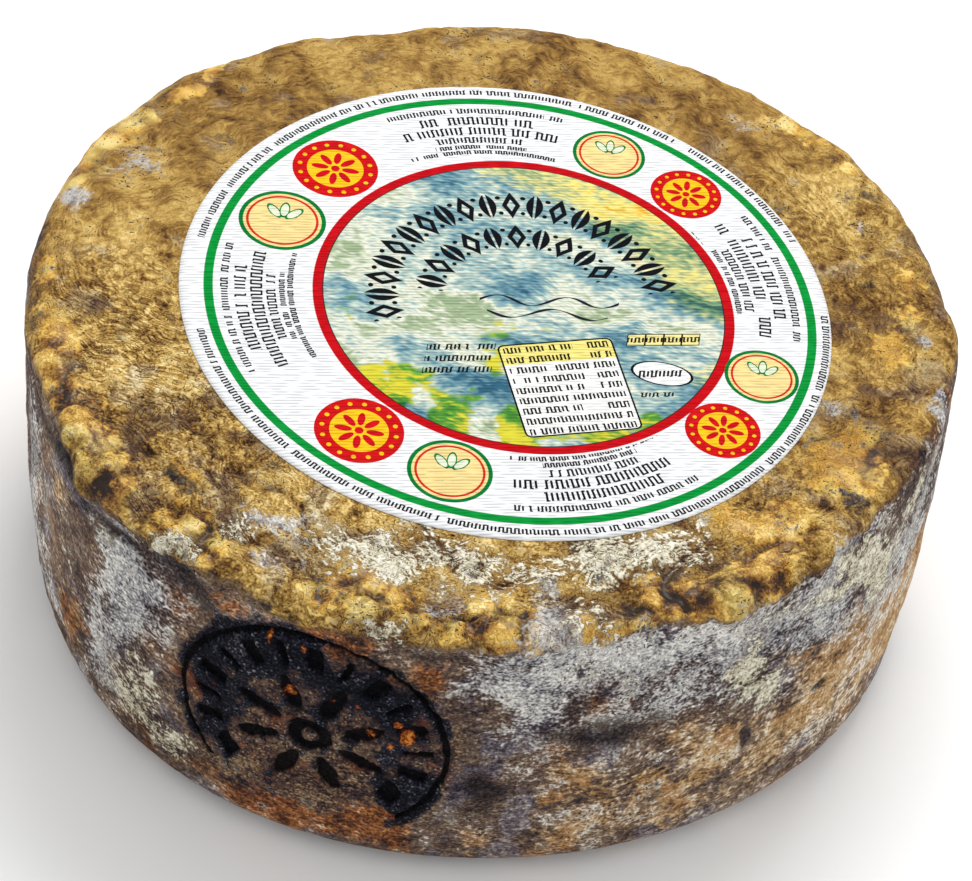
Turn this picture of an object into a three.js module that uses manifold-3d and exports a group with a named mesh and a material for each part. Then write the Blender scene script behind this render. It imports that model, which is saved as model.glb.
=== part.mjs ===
// A whole aged sheep's-milk cheese: a low, slightly out-of-round wheel with a rounded top edge, a softer
// foot, a lumpy rind, a round mark burnt into its side, and a round paper label lying flat on its top face.
// Millimetres, +Z up. The origin is the middle of the wheel's outline, on the surface that it stands on.
import * as THREE from "three";
import { mergeVertices } from "three/addons/utils/BufferGeometryUtils.js";
import Module from "manifold-3d";

// Wheel
const HEIGHT = 75.8;
const FACE_RADIUS = 100;
const FOOT_RADIUS = 99.4;
const FOOT_SHIFT = [2.25, -0.1];
const TOP_ROUND = 5.6;
const FOOT_ROUND = 10.2;
const SIDE_BULGE = 1.1;

// How far the wheel is out of round at its top edge and at its foot: lobes round the wheel, height of a lobe
// in millimetres, and the bearing of a crest in degrees.
const TOP_LOBES = [
  [2, 3.6, 36],
  [3, 0.9, 22],
  [4, 0.7, 64],
  [5, 0.6, 10],
  [8, 0.45, 3],
];
const FOOT_LOBES = [
  [2, 1.1, 44],
  [3, 1.3, -3],
  [4, 0.45, -37],
];

// Lumps and hollows of the rind, spread by a seeded draw: how many, between which bearings in degrees, how
// wide and how high or deep. The edge is lumpiest along the front, from bearing 195 to 345.
const LUMP_SEED = 2087;
const LUMPS = [
  { zone: "edge", count: 60, span: [0, 360], wide: [5, 9], high: [-0.6, 0.6] },
  { zone: "edge", count: 20, span: [195, 345], wide: [4.5, 7], high: [0.4, 1.3] },
  { zone: "top", count: 90, span: [0, 360], wide: [5, 10], high: [-0.5, 0.6] },
  { zone: "side", count: 150, span: [0, 360], wide: [5, 12], high: [-0.6, 0.5] },
];
const DRAW_FACTOR = 16807;
const DRAW_PRIME = 2147483647;

// Round the mark the lumps are lower: the share of them that is left there, and where it starts and stops to
// grow back, in radii of the mark.
const CALM_SHARE = 0.3;
const CALM_REACH = [0.8, 1.3];

// Label
const LABEL_CENTRE = [2.5, 0.55];
const LABEL_RADIUS = 71.1;
const LABEL_THICKNESS = 0.3;
const LABEL_GAP = 0.3;
const SEAT_MARGIN = 1;
const SEAT_FADE = 5;

// Mark burnt into the side: an open ring, a band of short bars like a dial's inside it, a lozenge at each end
// of the band, and in the middle a round boss in a sunk ring with eight petals round it.
const MARK_BEARING = 256.8;
const MARK_HEIGHT = 39.5;
const MARK_RADIUS = 29;
const MARK_DEPTH = 1.1;
const MARK_CUTTER_TOP = 4;
const RING_WIDTH = 1.3;
const RING_SPAN = [-48, 222];
const BAR_COUNT = 13;
const BAR_SPAN = [-14, 194];
const BAR_REACH = [19.5, 25.5];
const BAR_WIDTHS = [3.2, 1.6];
const BOSS_REACH = [1.8, 4.6];
const PETAL_COUNT = 8;
const PETAL_DISTANCE = 11.8;
const PETAL_SIZE = [1.8, 5];
const LOZENGE_BEARINGS = [216, 324];
const LOZENGE_DISTANCE = 21.5;
const LOZENGE_SIZE = [2.8, 4.4];

// Fineness of the mesh
const STEPS_ROUND = 144;
const TOP_RINGS = 6;
const EDGE_RINGS = 4;
const SIDE_RINGS = 9;
const FOOT_RINGS = 4;
const LABEL_STEPS = 96;
const RING_STEPS = 40;
const BAR_STEPS = 2;
const MOTIF_STEPS = 12;
const MERGE_REACH = 1e-4;

const QUARTER_TURN = Math.PI / 2;
const FULL_TURN = 2 * Math.PI;
const SIDE_TOP = HEIGHT - TOP_ROUND;
const radians = THREE.MathUtils.degToRad;
const smooth = THREE.MathUtils.smoothstep;

// Sum of the lobes at a bearing: each is a cosine wave round the wheel.
function outOfRound(lobes, theta) {
  const wave = ([count, size, crest]) => size * Math.cos(count * (theta - radians(crest)));
  return lobes.reduce((sum, lobe) => sum + wave(lobe), 0);
}

// The wheel's outer line at a bearing and a height: `down` runs from 0 at the top edge to 1 at the foot, and
// `inset` is how far inside the line the point lies.
function rimLine(theta, down, inset, z) {
  const top = FACE_RADIUS + outOfRound(TOP_LOBES, theta);
  const foot = FOOT_RADIUS + outOfRound(FOOT_LOBES, theta);
  const radius = top + (foot - top) * down - inset;
  const x = radius * Math.cos(theta) + down * FOOT_SHIFT[0];
  const y = radius * Math.sin(theta) + down * FOOT_SHIFT[1];
  return new THREE.Vector3(x, y, z);
}

// Direction that leans by `turn` from straight up towards the bearing.
function leaning(theta, turn) {
  const out = Math.sin(turn);
  return new THREE.Vector3(out * Math.cos(theta), out * Math.sin(theta), Math.cos(turn));
}

// The top face, from the label's seat (share 0) to the line where the edge starts to round (share 1).
function onTop(theta, share) {
  const seat = LABEL_RADIUS + SEAT_MARGIN;
  const inner = new THREE.Vector3(
    LABEL_CENTRE[0] + seat * Math.cos(theta),
    LABEL_CENTRE[1] + seat * Math.sin(theta),
    HEIGHT,
  );
  const outer = rimLine(theta, 0, TOP_ROUND, HEIGHT);
  return { point: inner.lerp(outer, share), normal: leaning(theta, 0) };
}

// The rounded top edge: a quarter circle from the top face (share 0) to the side (share 1).
function onEdge(theta, share) {
  const turn = share * QUARTER_TURN;
  const inset = TOP_ROUND * (1 - Math.sin(turn));
  const z = SIDE_TOP + TOP_ROUND * Math.cos(turn);
  return { point: rimLine(theta, 0, inset, z), normal: leaning(theta, turn) };
}

// The side, from the edge (share 0) to the foot (share 1), bulging in its middle like a shallow parabola.
function onSide(theta, share) {
  const z = SIDE_TOP + (FOOT_ROUND - SIDE_TOP) * share;
  const bulge = SIDE_BULGE * 4 * share * (1 - share);
  return { point: rimLine(theta, share, -bulge, z), normal: leaning(theta, QUARTER_TURN) };
}

// The rounded foot: a quarter circle from the side (share 0) to the flat underside (share 1).
function onFoot(theta, share) {
  const turn = share * QUARTER_TURN;
  const inset = FOOT_ROUND * (1 - Math.cos(turn));
  const z = FOOT_ROUND * (1 - Math.sin(turn));
  return { point: rimLine(theta, 1, inset, z), normal: leaning(theta, QUARTER_TURN + turn) };
}

// A repeatable draw between 0 and 1: each state is the last one times a fixed factor, modulo a large prime.
function makeDraw(seed) {
  let state = seed;
  return () => {
    state = (state * DRAW_FACTOR) % DRAW_PRIME;
    return state / DRAW_PRIME;
  };
}

// The lumps: centres set evenly round each zone with a drawn offset, each with a drawn width and height.
function makeLumps() {
  const draw = makeDraw(LUMP_SEED);
  const between = ([low, high]) => low + (high - low) * draw();
  const surface = { edge: onEdge, top: onTop, side: onSide };
  return LUMPS.flatMap(({ zone, count, span, wide, high }) =>
    Array.from({ length: count }, (_, index) => {
      const theta = radians(span[0] + ((span[1] - span[0]) * (index + draw())) / count);
      const centre = surface[zone](theta, draw()).point;
      return { centre, wide: between(wide), high: between(high) };
    }),
  );
}
const lumps = makeLumps();

// Height of the rind over the smooth wheel: the sum of bell-shaped lumps, faded out at the label's seat, at
// the flat underside and round the mark.
function relief(point, markMiddle) {
  const seat = LABEL_RADIUS + SEAT_MARGIN;
  const fromSeat = Math.hypot(point.x - LABEL_CENTRE[0], point.y - LABEL_CENTRE[1]) - seat;
  const onLabel = point.z > SIDE_TOP ? smooth(fromSeat, 0, SEAT_FADE) : 1;
  const atFoot = smooth(point.z, 0, FOOT_ROUND);
  const fromMark = point.distanceTo(markMiddle) / MARK_RADIUS;
  const atMark = CALM_SHARE + (1 - CALM_SHARE) * smooth(fromMark, ...CALM_REACH);
  const bell = ({ centre, wide, high }) => high * Math.exp(-point.distanceToSquared(centre) / wide ** 2);
  return onLabel * atFoot * atMark * lumps.reduce((sum, lump) => sum + bell(lump), 0);
}

// Closed skin of the wheel: rings of points from the label's seat over the edge, side and foot to the
// underside, joined by two triangles a cell and closed by a fan at each end.
function wheelGeometry() {
  const shares = (count) => Array.from({ length: count }, (_, index) => (index + 1) / count);
  const rings = [
    ...[0, ...shares(TOP_RINGS)].map((share) => (theta) => onTop(theta, share)),
    ...shares(EDGE_RINGS).map((share) => (theta) => onEdge(theta, share)),
    ...shares(SIDE_RINGS).map((share) => (theta) => onSide(theta, share)),
    ...shares(FOOT_RINGS).map((share) => (theta) => onFoot(theta, share)),
  ];
  const markMiddle = onSide(radians(MARK_BEARING), shareOfHeight(MARK_HEIGHT)).point;
  const points = [];
  for (const ring of rings) {
    for (let step = 0; step < STEPS_ROUND; step += 1) {
      const { point, normal } = ring((step / STEPS_ROUND) * FULL_TURN);
      points.push(point.addScaledVector(normal, relief(point, markMiddle)));
    }
  }
  const topMiddle = points.push(new THREE.Vector3(...LABEL_CENTRE, HEIGHT)) - 1;
  const footMiddle = points.push(new THREE.Vector3(...FOOT_SHIFT, 0)) - 1;
  const faces = [];
  for (let step = 0; step < STEPS_ROUND; step += 1) {
    const next = (step + 1) % STEPS_ROUND;
    faces.push(topMiddle, step, next);
    for (let ring = 0; ring < rings.length - 1; ring += 1) {
      const upper = ring * STEPS_ROUND;
      const lower = upper + STEPS_ROUND;
      faces.push(upper + step, lower + step, lower + next);
      faces.push(upper + step, lower + next, upper + next);
    }
    const last = (rings.length - 1) * STEPS_ROUND;
    faces.push(footMiddle, last + next, last + step);
  }
  return new THREE.BufferGeometry().setFromPoints(points).setIndex(faces);
}

// Share of the side, from 0 at the edge to 1 at the foot, at a height.
function shareOfHeight(z) {
  return (SIDE_TOP - z) / (SIDE_TOP - FOOT_ROUND);
}

// A stretch of a flat ring, as an outline round the mark's middle.
function ringOutline(inner, outer, from, to) {
  const shape = new THREE.Shape();
  shape.absarc(0, 0, outer, radians(from), radians(to), false);
  shape.absarc(0, 0, inner, radians(to), radians(from), true);
  return shape;
}

// A petal, an ellipse whose long axis points away from the mark's middle.
function petalOutline(index) {
  const [half, reach] = PETAL_SIZE;
  const bearing = ((index + 0.5) / PETAL_COUNT) * FULL_TURN;
  const x = PETAL_DISTANCE * Math.cos(bearing);
  const y = PETAL_DISTANCE * Math.sin(bearing);
  return new THREE.Shape().absellipse(x, y, reach, half, 0, FULL_TURN, false, bearing);
}

// A lozenge with its corners up, down, left and right.
function lozengeOutline(bearing) {
  const [half, reach] = LOZENGE_SIZE;
  const x = LOZENGE_DISTANCE * Math.cos(radians(bearing));
  const y = LOZENGE_DISTANCE * Math.sin(radians(bearing));
  return new THREE.Shape([
    new THREE.Vector2(x + half, y),
    new THREE.Vector2(x, y + reach),
    new THREE.Vector2(x - half, y),
    new THREE.Vector2(x, y - reach),
  ]);
}

// A bar of the dial-like band: a short stretch of ring, wide and narrow in turn.
function barOutline(index) {
  const [inner, outer] = BAR_REACH;
  const middle = BAR_SPAN[0] + ((BAR_SPAN[1] - BAR_SPAN[0]) * index) / (BAR_COUNT - 1);
  const half = THREE.MathUtils.radToDeg(BAR_WIDTHS[index % BAR_WIDTHS.length] / (inner + outer));
  return ringOutline(inner, outer, middle - half, middle + half);
}

// The sunk ring round the boss, as an outline with a round hole.
function bossOutline() {
  const [inner, outer] = BOSS_REACH;
  const shape = new THREE.Shape().absarc(0, 0, outer, 0, FULL_TURN, false);
  shape.holes.push(new THREE.Path().absarc(0, 0, inner, 0, FULL_TURN, true));
  return shape;
}

// Cutter for an outline of the mark: the outline is drawn out from below the rind to clear of it, and each of
// its points is laid round the side, x along it, y up it and z out of it.
function markCutter(shape, curveSegments) {
  const geometry = new THREE.ExtrudeGeometry(shape, {
    depth: MARK_DEPTH + MARK_CUTTER_TOP,
    bevelEnabled: false,
    curveSegments,
  });
  const position = geometry.getAttribute("position");
  for (let index = 0; index < position.count; index += 1) {
    const theta = radians(MARK_BEARING) + position.getX(index) / FACE_RADIUS;
    const { point, normal } = onSide(theta, shareOfHeight(MARK_HEIGHT + position.getY(index)));
    const out = position.getZ(index) - MARK_DEPTH;
    position.setXYZ(index, ...point.addScaledVector(normal, out).toArray());
  }
  return geometry;
}

const wasm = await Module();
wasm.setup();

// A closed geometry as a solid that can be cut.
function toSolid(geometry) {
  const bare = new THREE.BufferGeometry().setAttribute("position", geometry.getAttribute("position"));
  if (geometry.index) bare.setIndex(geometry.index);
  const merged = mergeVertices(bare, MERGE_REACH);
  return new wasm.Manifold(
    new wasm.Mesh({
      numProp: 3,
      vertProperties: merged.getAttribute("position").array,
      triVerts: new Uint32Array(merged.index.array),
    }),
  );
}

// A cut solid back as a geometry with flat-shaded faces.
function toGeometry(solid) {
  const { vertProperties, triVerts } = solid.getMesh();
  const shared = new THREE.BufferGeometry();
  shared.setAttribute("position", new THREE.BufferAttribute(vertProperties, 3));
  shared.setIndex(new THREE.BufferAttribute(triVerts, 1));
  const geometry = shared.toNonIndexed();
  geometry.computeVertexNormals();
  return geometry;
}

// The cheese: the wheel with the mark cut into its side.
function cheeseWheel() {
  const material = new THREE.MeshStandardMaterial({ color: 0x8a6a38, roughness: 0.75, metalness: 0 });
  const copies = (count, outline, steps) =>
    Array.from({ length: count }, (_, index) => markCutter(outline(index), steps));
  const ring = ringOutline(MARK_RADIUS - RING_WIDTH, MARK_RADIUS, ...RING_SPAN);
  const cutters = [
    markCutter(ring, RING_STEPS),
    ...copies(BAR_COUNT, barOutline, BAR_STEPS),
    markCutter(bossOutline(), MOTIF_STEPS),
    ...copies(PETAL_COUNT, petalOutline, MOTIF_STEPS),
    ...LOZENGE_BEARINGS.map((bearing) => markCutter(lozengeOutline(bearing), 1)),
  ];
  const whole = toSolid(wheelGeometry());
  const solid = cutters.reduce((wheel, cutter) => wheel.subtract(toSolid(cutter)), whole);
  const mesh = new THREE.Mesh(toGeometry(solid), material);
  mesh.name = "cheese_wheel";
  return mesh;
}

// The label: a thin disc of paper.
function paperLabel() {
  const material = new THREE.MeshStandardMaterial({ color: 0xe6e6e2, roughness: 0.8, metalness: 0 });
  const disc = new THREE.Shape().absarc(...LABEL_CENTRE, LABEL_RADIUS, 0, FULL_TURN, false);
  const options = { depth: LABEL_THICKNESS, bevelEnabled: false, curveSegments: LABEL_STEPS };
  const mesh = new THREE.Mesh(new THREE.ExtrudeGeometry(disc, options), material);
  mesh.name = "paper_label";
  mesh.position.z = HEIGHT + LABEL_GAP;
  return mesh;
}

const cheese = new THREE.Group();
cheese.add(cheeseWheel(), paperLabel());
const middle = new THREE.Box3().setFromObject(cheese).getCenter(new THREE.Vector3());
cheese.position.set(-middle.x, -middle.y, 0);

export default cheese;
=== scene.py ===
import bpy
import numpy as np
from math import radians
from mathutils import Matrix, Vector


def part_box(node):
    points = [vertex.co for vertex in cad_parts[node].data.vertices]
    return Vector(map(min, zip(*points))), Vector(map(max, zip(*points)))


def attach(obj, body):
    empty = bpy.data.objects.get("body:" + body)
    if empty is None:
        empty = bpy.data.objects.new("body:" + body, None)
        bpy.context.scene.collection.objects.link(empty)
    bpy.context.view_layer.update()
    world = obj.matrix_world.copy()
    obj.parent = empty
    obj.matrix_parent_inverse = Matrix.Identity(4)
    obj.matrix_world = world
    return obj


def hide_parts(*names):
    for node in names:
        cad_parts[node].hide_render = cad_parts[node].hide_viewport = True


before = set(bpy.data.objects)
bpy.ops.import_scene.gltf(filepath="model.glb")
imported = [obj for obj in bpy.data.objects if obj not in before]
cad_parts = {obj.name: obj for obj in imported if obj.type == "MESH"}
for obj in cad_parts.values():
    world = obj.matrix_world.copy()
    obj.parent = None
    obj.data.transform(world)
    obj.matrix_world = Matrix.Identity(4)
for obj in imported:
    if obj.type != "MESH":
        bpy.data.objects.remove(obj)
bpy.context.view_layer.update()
MM = 0.001

# Camera. It stands in front of the wheel at the height of a person looking down on a counter, half way
# between level and overhead, and is rolled a little, so that the wheel leans to the right in the picture.
CAMERA_PLACE = (0.00194, -0.55781, 0.58884)
CAMERA_DOWN = radians(44.887)
CAMERA_ROLL = radians(9.891)
CAMERA_LENS, CAMERA_SENSOR = 129.6, 36.0
camera = bpy.data.objects.new("camera", bpy.data.cameras.new("camera"))
camera.data.lens, camera.data.sensor_width = CAMERA_LENS, CAMERA_SENSOR
camera.location = CAMERA_PLACE
upright = Matrix.Rotation(radians(90) - CAMERA_DOWN, 3, "X")
camera.rotation_euler = (upright @ Matrix.Rotation(CAMERA_ROLL, 3, "Z")).to_euler()
bpy.context.scene.collection.objects.link(camera)
bpy.context.scene.camera = camera

# The cheese: one solid wheel, pressed in a mould, so that its foot is a little softer than its top edge,
# and aged until its rind is lumpy, cracked and mouldy. A hot iron burnt the mark into its side. Lengths
# are in millimetres until the mesh is made, measured from the wheel's own axis.
HEIGHT, FACE_RADIUS, FOOT_RADIUS = 75.8, 100.0, 99.4
FOOT_SHIFT = np.array((2.25, -0.1))
TOP_ROUND, FOOT_ROUND, SIDE_BULGE = 5.6, 10.2, 1.1
TOP_LOBES = [(2, 3.6, 36), (3, 0.9, 22), (4, 0.7, 64), (5, 0.6, 10), (8, 0.45, 3)]
FOOT_LOBES = [(2, 1.1, 44), (3, 1.3, -3), (4, 0.45, -37)]
LABEL_OFFSET = np.array((2.5, 0.55))
LABEL_RADIUS, SEAT_MARGIN, SEAT_FADE = 71.1, 1.0, 5.0
SIDE_TOP = HEIGHT - TOP_ROUND
QUARTER = np.pi / 2
label_low, label_high = (np.array(corner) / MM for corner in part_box("paper_label"))
label_middle = (label_low + label_high)[:2] / 2
wheel_axis = label_middle - LABEL_OFFSET


def out_of_round(lobes, theta):
    """Sum of cosine waves round the wheel: how many crests, how high, and the bearing of one of them in
    degrees."""
    return sum(size * np.cos(count * (theta - radians(crest))) for count, size, crest in lobes)


def rim_line(theta, down, inset, z):
    """Outer line of the wheel at a bearing. Its radius and middle go straight from the top edge (down 0)
    to the foot (down 1), and the point lies `inset` inside it at height z."""
    top = FACE_RADIUS + out_of_round(TOP_LOBES, theta)
    foot = FOOT_RADIUS + out_of_round(FOOT_LOBES, theta)
    radius = top + (foot - top) * down - inset
    x = radius * np.cos(theta) + down * FOOT_SHIFT[0]
    y = radius * np.sin(theta) + down * FOOT_SHIFT[1]
    return np.stack(np.broadcast_arrays(x, y, z), -1)


def leaning(theta, turn):
    """Direction that leans by `turn` from straight up towards the bearing."""
    level, up = np.sin(turn), np.cos(turn)
    return np.stack(np.broadcast_arrays(level * np.cos(theta), level * np.sin(theta), up), -1)


def on_top(theta, share):
    """Flat top, straight from the label's seat (share 0) to where the edge starts to round (share 1)."""
    seat = LABEL_RADIUS + SEAT_MARGIN
    x = LABEL_OFFSET[0] + seat * np.cos(theta)
    y = LABEL_OFFSET[1] + seat * np.sin(theta)
    inner = np.stack(np.broadcast_arrays(x, y, HEIGHT), -1)
    outer = rim_line(theta, 0.0, TOP_ROUND, HEIGHT)
    return inner + (outer - inner) * np.asarray(share)[..., None], leaning(theta, 0.0 * theta)


def on_edge(theta, share):
    """Quarter circle from the top (share 0) to the side (share 1)."""
    turn = share * QUARTER
    inset, z = TOP_ROUND * (1 - np.sin(turn)), SIDE_TOP + TOP_ROUND * np.cos(turn)
    return rim_line(theta, 0.0, inset, z), leaning(theta, turn)


def on_side(theta, share):
    """Side from the edge (share 0) to the foot (share 1), bulging by a parabola that peaks half way
    down."""
    z = SIDE_TOP + (FOOT_ROUND - SIDE_TOP) * share
    return rim_line(theta, share, -SIDE_BULGE * 4 * share * (1 - share), z), leaning(theta, QUARTER)


def on_foot(theta, share):
    """Quarter circle from the side (share 0) to the flat underside (share 1)."""
    turn = share * QUARTER
    inset, z = FOOT_ROUND * (1 - np.cos(turn)), FOOT_ROUND * (1 - np.sin(turn))
    return rim_line(theta, 1.0, inset, z), leaning(theta, QUARTER + turn)


# The mark burnt into the side, and the mesh's columns, which stand closer together across it.
MARK_BEARING, MARK_HEIGHT, MARK_RADIUS, MARK_DEPTH = 256.8, 39.5, 29.0, 1.1
COLUMNS, MARK_FINENESS, FINE_REACH, FINE_FADE = 720, 2.4, 21, 3
TOP_ROWS, EDGE_ROWS, SIDE_ROWS, FOOT_ROWS = 25, 10, 88, 9
UNDER_ROWS = (0.75, 0.5, 0.25)
dial = np.linspace(0, 360, 3601)
turned = np.abs((dial - MARK_BEARING + 180) % 360 - 180)
density = 1 + (MARK_FINENESS - 1) * np.clip((FINE_REACH - turned) / FINE_FADE, 0, 1)
paced = np.concatenate([[0], np.cumsum((density[1:] + density[:-1]) / 2)])
bearings = np.radians(np.interp(np.arange(COLUMNS) / COLUMNS * paced[-1], paced, dial))

zones = [
    on_top(bearings, np.linspace(0, 1, TOP_ROWS)[:, None]),
    on_edge(bearings, np.linspace(0, 1, EDGE_ROWS + 1)[1:, None]),
    on_side(bearings, np.linspace(0, 1, SIDE_ROWS + 1)[1:, None]),
    on_foot(bearings, np.linspace(0, 1, FOOT_ROWS + 1)[1:, None]),
]
skin = np.concatenate([points for points, _ in zones])
outward = np.concatenate([np.broadcast_to(normals, points.shape) for points, normals in zones])
theta = np.broadcast_to(bearings, skin.shape[:2])

# Distance along the profile from where the top edge starts to round: inwards over the top it is negative.
step = np.linalg.norm(np.diff(skin, axis=0), axis=-1)
along = np.concatenate([np.zeros((1, COLUMNS)), np.cumsum(step, axis=0)])
along = along - along[TOP_ROWS - 1]


def hash_noise(cells, seed):
    """Even random value from -1 to 1 on each corner of a cubic grid, mixed from its three whole-number
    places."""
    mixed = (cells * (73856093, 19349663, 83492791)).sum(-1) + seed * 668265263
    mixed = (mixed ^ (mixed >> 13)) * 1274126177 & 0x7FFFFFFF
    mixed = (mixed ^ (mixed >> 16)) * 69069 & 0x7FFFFFFF
    return ((mixed >> 8) & 0xFFFF) / 32767.5 - 1


def cloud(places, size, seed, octaves=1):
    """Soft noise, about -1 to 1: values on a grid of `size`, blended between its corners by a smooth
    ease. Each further octave is half as large and half as strong."""
    total = 0.0
    for octave in range(octaves):
        at = places * 2**octave / size + 17.3 * octave
        cell = np.floor(at).astype(np.int64)
        ease = (at - cell) ** 2 * (3 - 2 * (at - cell))
        for corner in np.ndindex(2, 2, 2):
            weight = np.where(corner, ease, 1 - ease).prod(-1)
            total = total + hash_noise(cell + corner, seed + octave) * weight / 2**octave
    return total


# Lumps and hollows, the same as the solid's: each zone's count, bearings, widths and heights, from one
# seeded draw.
LUMP_SEED, DRAW_FACTOR, DRAW_PRIME = 2087, 16807, 2147483647
LUMPS = [
    (on_edge, 60, (0, 360), (5, 9), (-0.6, 0.6)),
    (on_edge, 20, (195, 345), (4.5, 7), (0.4, 1.3)),
    (on_top, 90, (0, 360), (5, 10), (-0.5, 0.6)),
    (on_side, 150, (0, 360), (5, 12), (-0.6, 0.5)),
]


def drawn(count, state=LUMP_SEED):
    """Repeatable values from 0 to 1: each state is the last one times a factor, modulo a prime."""
    for _ in range(count):
        state = state * DRAW_FACTOR % DRAW_PRIME
        yield state / DRAW_PRIME


def smooth(value, low, high):
    """0 below low, 1 above high, and an S-shaped cubic between."""
    share = np.clip((value - low) / (high - low), 0, 1)
    return share * share * (3 - 2 * share)


draws = drawn(4 * sum(count for _, count, _, _, _ in LUMPS))
lumps = np.zeros(theta.shape)
for zone, count, (start, end), wide, high in LUMPS:
    for index in range(count):
        at = radians(start + (end - start) * (index + next(draws)) / count)
        centre = zone(np.array(at), np.array(next(draws)))[0]
        width = wide[0] + (wide[1] - wide[0]) * next(draws)
        peak = high[0] + (high[1] - high[0]) * next(draws)
        lumps += peak * np.exp(-((skin - centre) ** 2).sum(-1) / width**2)

# Where things lie on the rind: bearing in degrees, distance along the profile, half width round the
# wheel, half width along the profile, and strength. Their borders are made ragged by noise.
GREY = [
    (174, -2, 6, 4, 1.1), (163, -7, 5, 6, 0.8), (192, -1, 3, 2, 0.7), (57, -9, 6, 7, 0.5),
    (94, -7, 4, 5, 0.4), (31, -7, 2, 2, 0.6), (23, -2, 4, 3, 0.8), (6, -2, 4, 2, 0.8),
    (348, -17, 4, 4, 0.7), (356, 5, 5, 4, 0.9), (248, -2, 5, 6, 0.9), (270, -5, 5, 4, 0.8),
    (284, -1, 6, 8, 0.9), (243, -12, 5, 4, 0.7), (68, -18, 2, 6, 0.6), (203, 22, 12, 14, 0.5),
    (202, 50, 10, 20, 0.8), (212, 62, 9, 12, 0.6), (233, 17, 9, 11, 1.1), (231, 32, 7, 12, 1.1),
    (226, 50, 7, 14, 0.9), (282, 14, 12, 8, 1.0), (297, 14, 16, 9, 1.2), (312, 18, 14, 10, 1.0),
    (283, 28, 9, 8, 0.7), (298, 28, 14, 7, 0.5), (304, 42, 14, 8, 0.2), (324, 20, 12, 10, 0.9),
    (340, 30, 14, 14, 0.7), (350, 20, 14, 16, 0.8), (318, 40, 4, 5, 0.8), (330, 52, 22, 14, 0.3),
    (292, 56, 18, 10, 0.22), (259, 42, 5, 3, 0.8), (244, 46, 5, 8, 0.5), (244, -14, 8, 6, 0.45),
    (276, -14, 10, 7, 0.5), (326, 8, 14, 4, 0.8),
]
CREAM = [
    (259, -11, 7, 6, 0.7), (268, -15, 13, 5, 0.8), (290, -13, 8, 8, 0.8), (302, -12, 12, 6, 0.9),
    (242, -9, 4, 3, 0.8), (254, -16, 10, 4, 0.5), (280, -11, 10, 6, 0.5), (237, 7, 6, 4, 0.9),
    (263, 6, 6, 2, 0.9), (316, 12, 7, 3, 0.6), (328, 12, 9, 4, 0.9), (333, 17, 7, 6, 1.1),
    (337, 24, 5, 8, 0.9), (345, 14, 8, 8, 0.8), (311, 24, 4, 8, 1.1), (315, 34, 4, 8, 1.1),
    (231, 58, 6, 8, 0.9), (238, 62, 9, 6, 1.0), (234, 46, 5, 8, 0.6), (220, 36, 5, 8, 0.5),
    (288, 4, 5, 5, 0.6), (292, 20, 12, 5, 0.3), (324, 14, 6, 3, 0.6), (227, 12, 6, 6, 0.4),
]
AMBER = [
    (238, -2, 7, 6, 1.1), (229, 3, 7, 4, 1.0), (256, 1, 5, 5, 1.0), (261, -2, 5, 6, 1.0),
    (268, 1, 4, 5, 1.0), (276, -5, 7, 5, 0.9), (278, 4, 8, 3, 1.1), (298, 0, 9, 6, 1.0),
    (311, 0, 11, 5, 1.0), (320, -8, 10, 7, 0.9), (217, 1, 16, 7, 1.0), (244, 4, 5, 4, 0.7),
    (338, -6, 10, 8, 0.7), (4, -12, 8, 8, 0.5), (47, 1, 14, 7, 0.6), (16, -4, 9, 5, 0.5),
    (170, 4, 12, 5, 1.0), (190, 4, 8, 4, 0.8), (203, 0, 9, 6, 0.8), (288, 6, 14, 3, 0.8),
    (228, -13, 8, 5, 0.5), (306, 5, 14, 3, 0.9), (264, -6, 6, 3, 0.5), (158, 2, 14, 3, 1.0),
    (145, 1, 12, 3, 0.8),
]
# Dark stains. The row just under the crust's edge on the front, 8 to 11 mm down the profile, is partly
# painted shade under the crust's lip.
DARK = [
    (205, 10, 9, 3, 0.8), (219, 10, 14, 3, 1.1), (232, 11, 9, 3, 0.9), (200, 34, 7, 26, 0.4),
    (331, 1, 5, 3, 0.6), (115, -5, 3, 3, 0.6), (131, -15, 3, 2, 0.7), (34, -2, 4, 3, 0.5),
    (18, -13, 3, 3, 0.6), (28, -8, 2, 4, 0.5), (259, 2, 1.6, 1.2, 0.7), (274, 0, 4, 0.9, 1.0),
    (280, 1, 3, 1.0, 0.9), (313, 48, 2, 5, 1.1), (326, 44, 2.5, 2.5, 1.0), (292, 33, 16, 4, 0.9),
    (243, 17, 6, 7, 0.6), (233, 1, 4, 2, 0.7), (222, -9, 8, 3, 0.6), (200, -13, 7, 5, 0.4),
    (213, 40, 5, 14, 0.4), (275, 38, 7, 16, 0.5), (278, 50, 5, 6, 1.0), (240, 10, 8, 3, 0.7),
    (270, 9, 8, 2, 0.6), (230, -9, 7, 3, 0.6), (247, -8, 5, 3, 0.6), (345, -4, 3, 2, 0.4),
    (252, 8, 10, 2, 0.6), (206, 30, 6, 6, 0.4), (320, 30, 1.5, 5, 0.7), (300, 58, 3, 2, 0.6),
]
OCHRE = [
    (217, 20, 6, 9, 0.6), (219, 56, 5, 12, 0.6), (288, 60, 14, 10, 0.5), (306, 56, 18, 14, 0.8),
    (322, 50, 14, 14, 0.9), (334, 42, 14, 18, 1.0), (345, 50, 14, 18, 1.0), (304, 42, 12, 7, 0.5),
    (290, 46, 10, 5, 0.35), (352, 48, 14, 18, 0.9), (318, 28, 8, 5, 0.4), (330, 30, 8, 6, 0.4),
]
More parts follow.
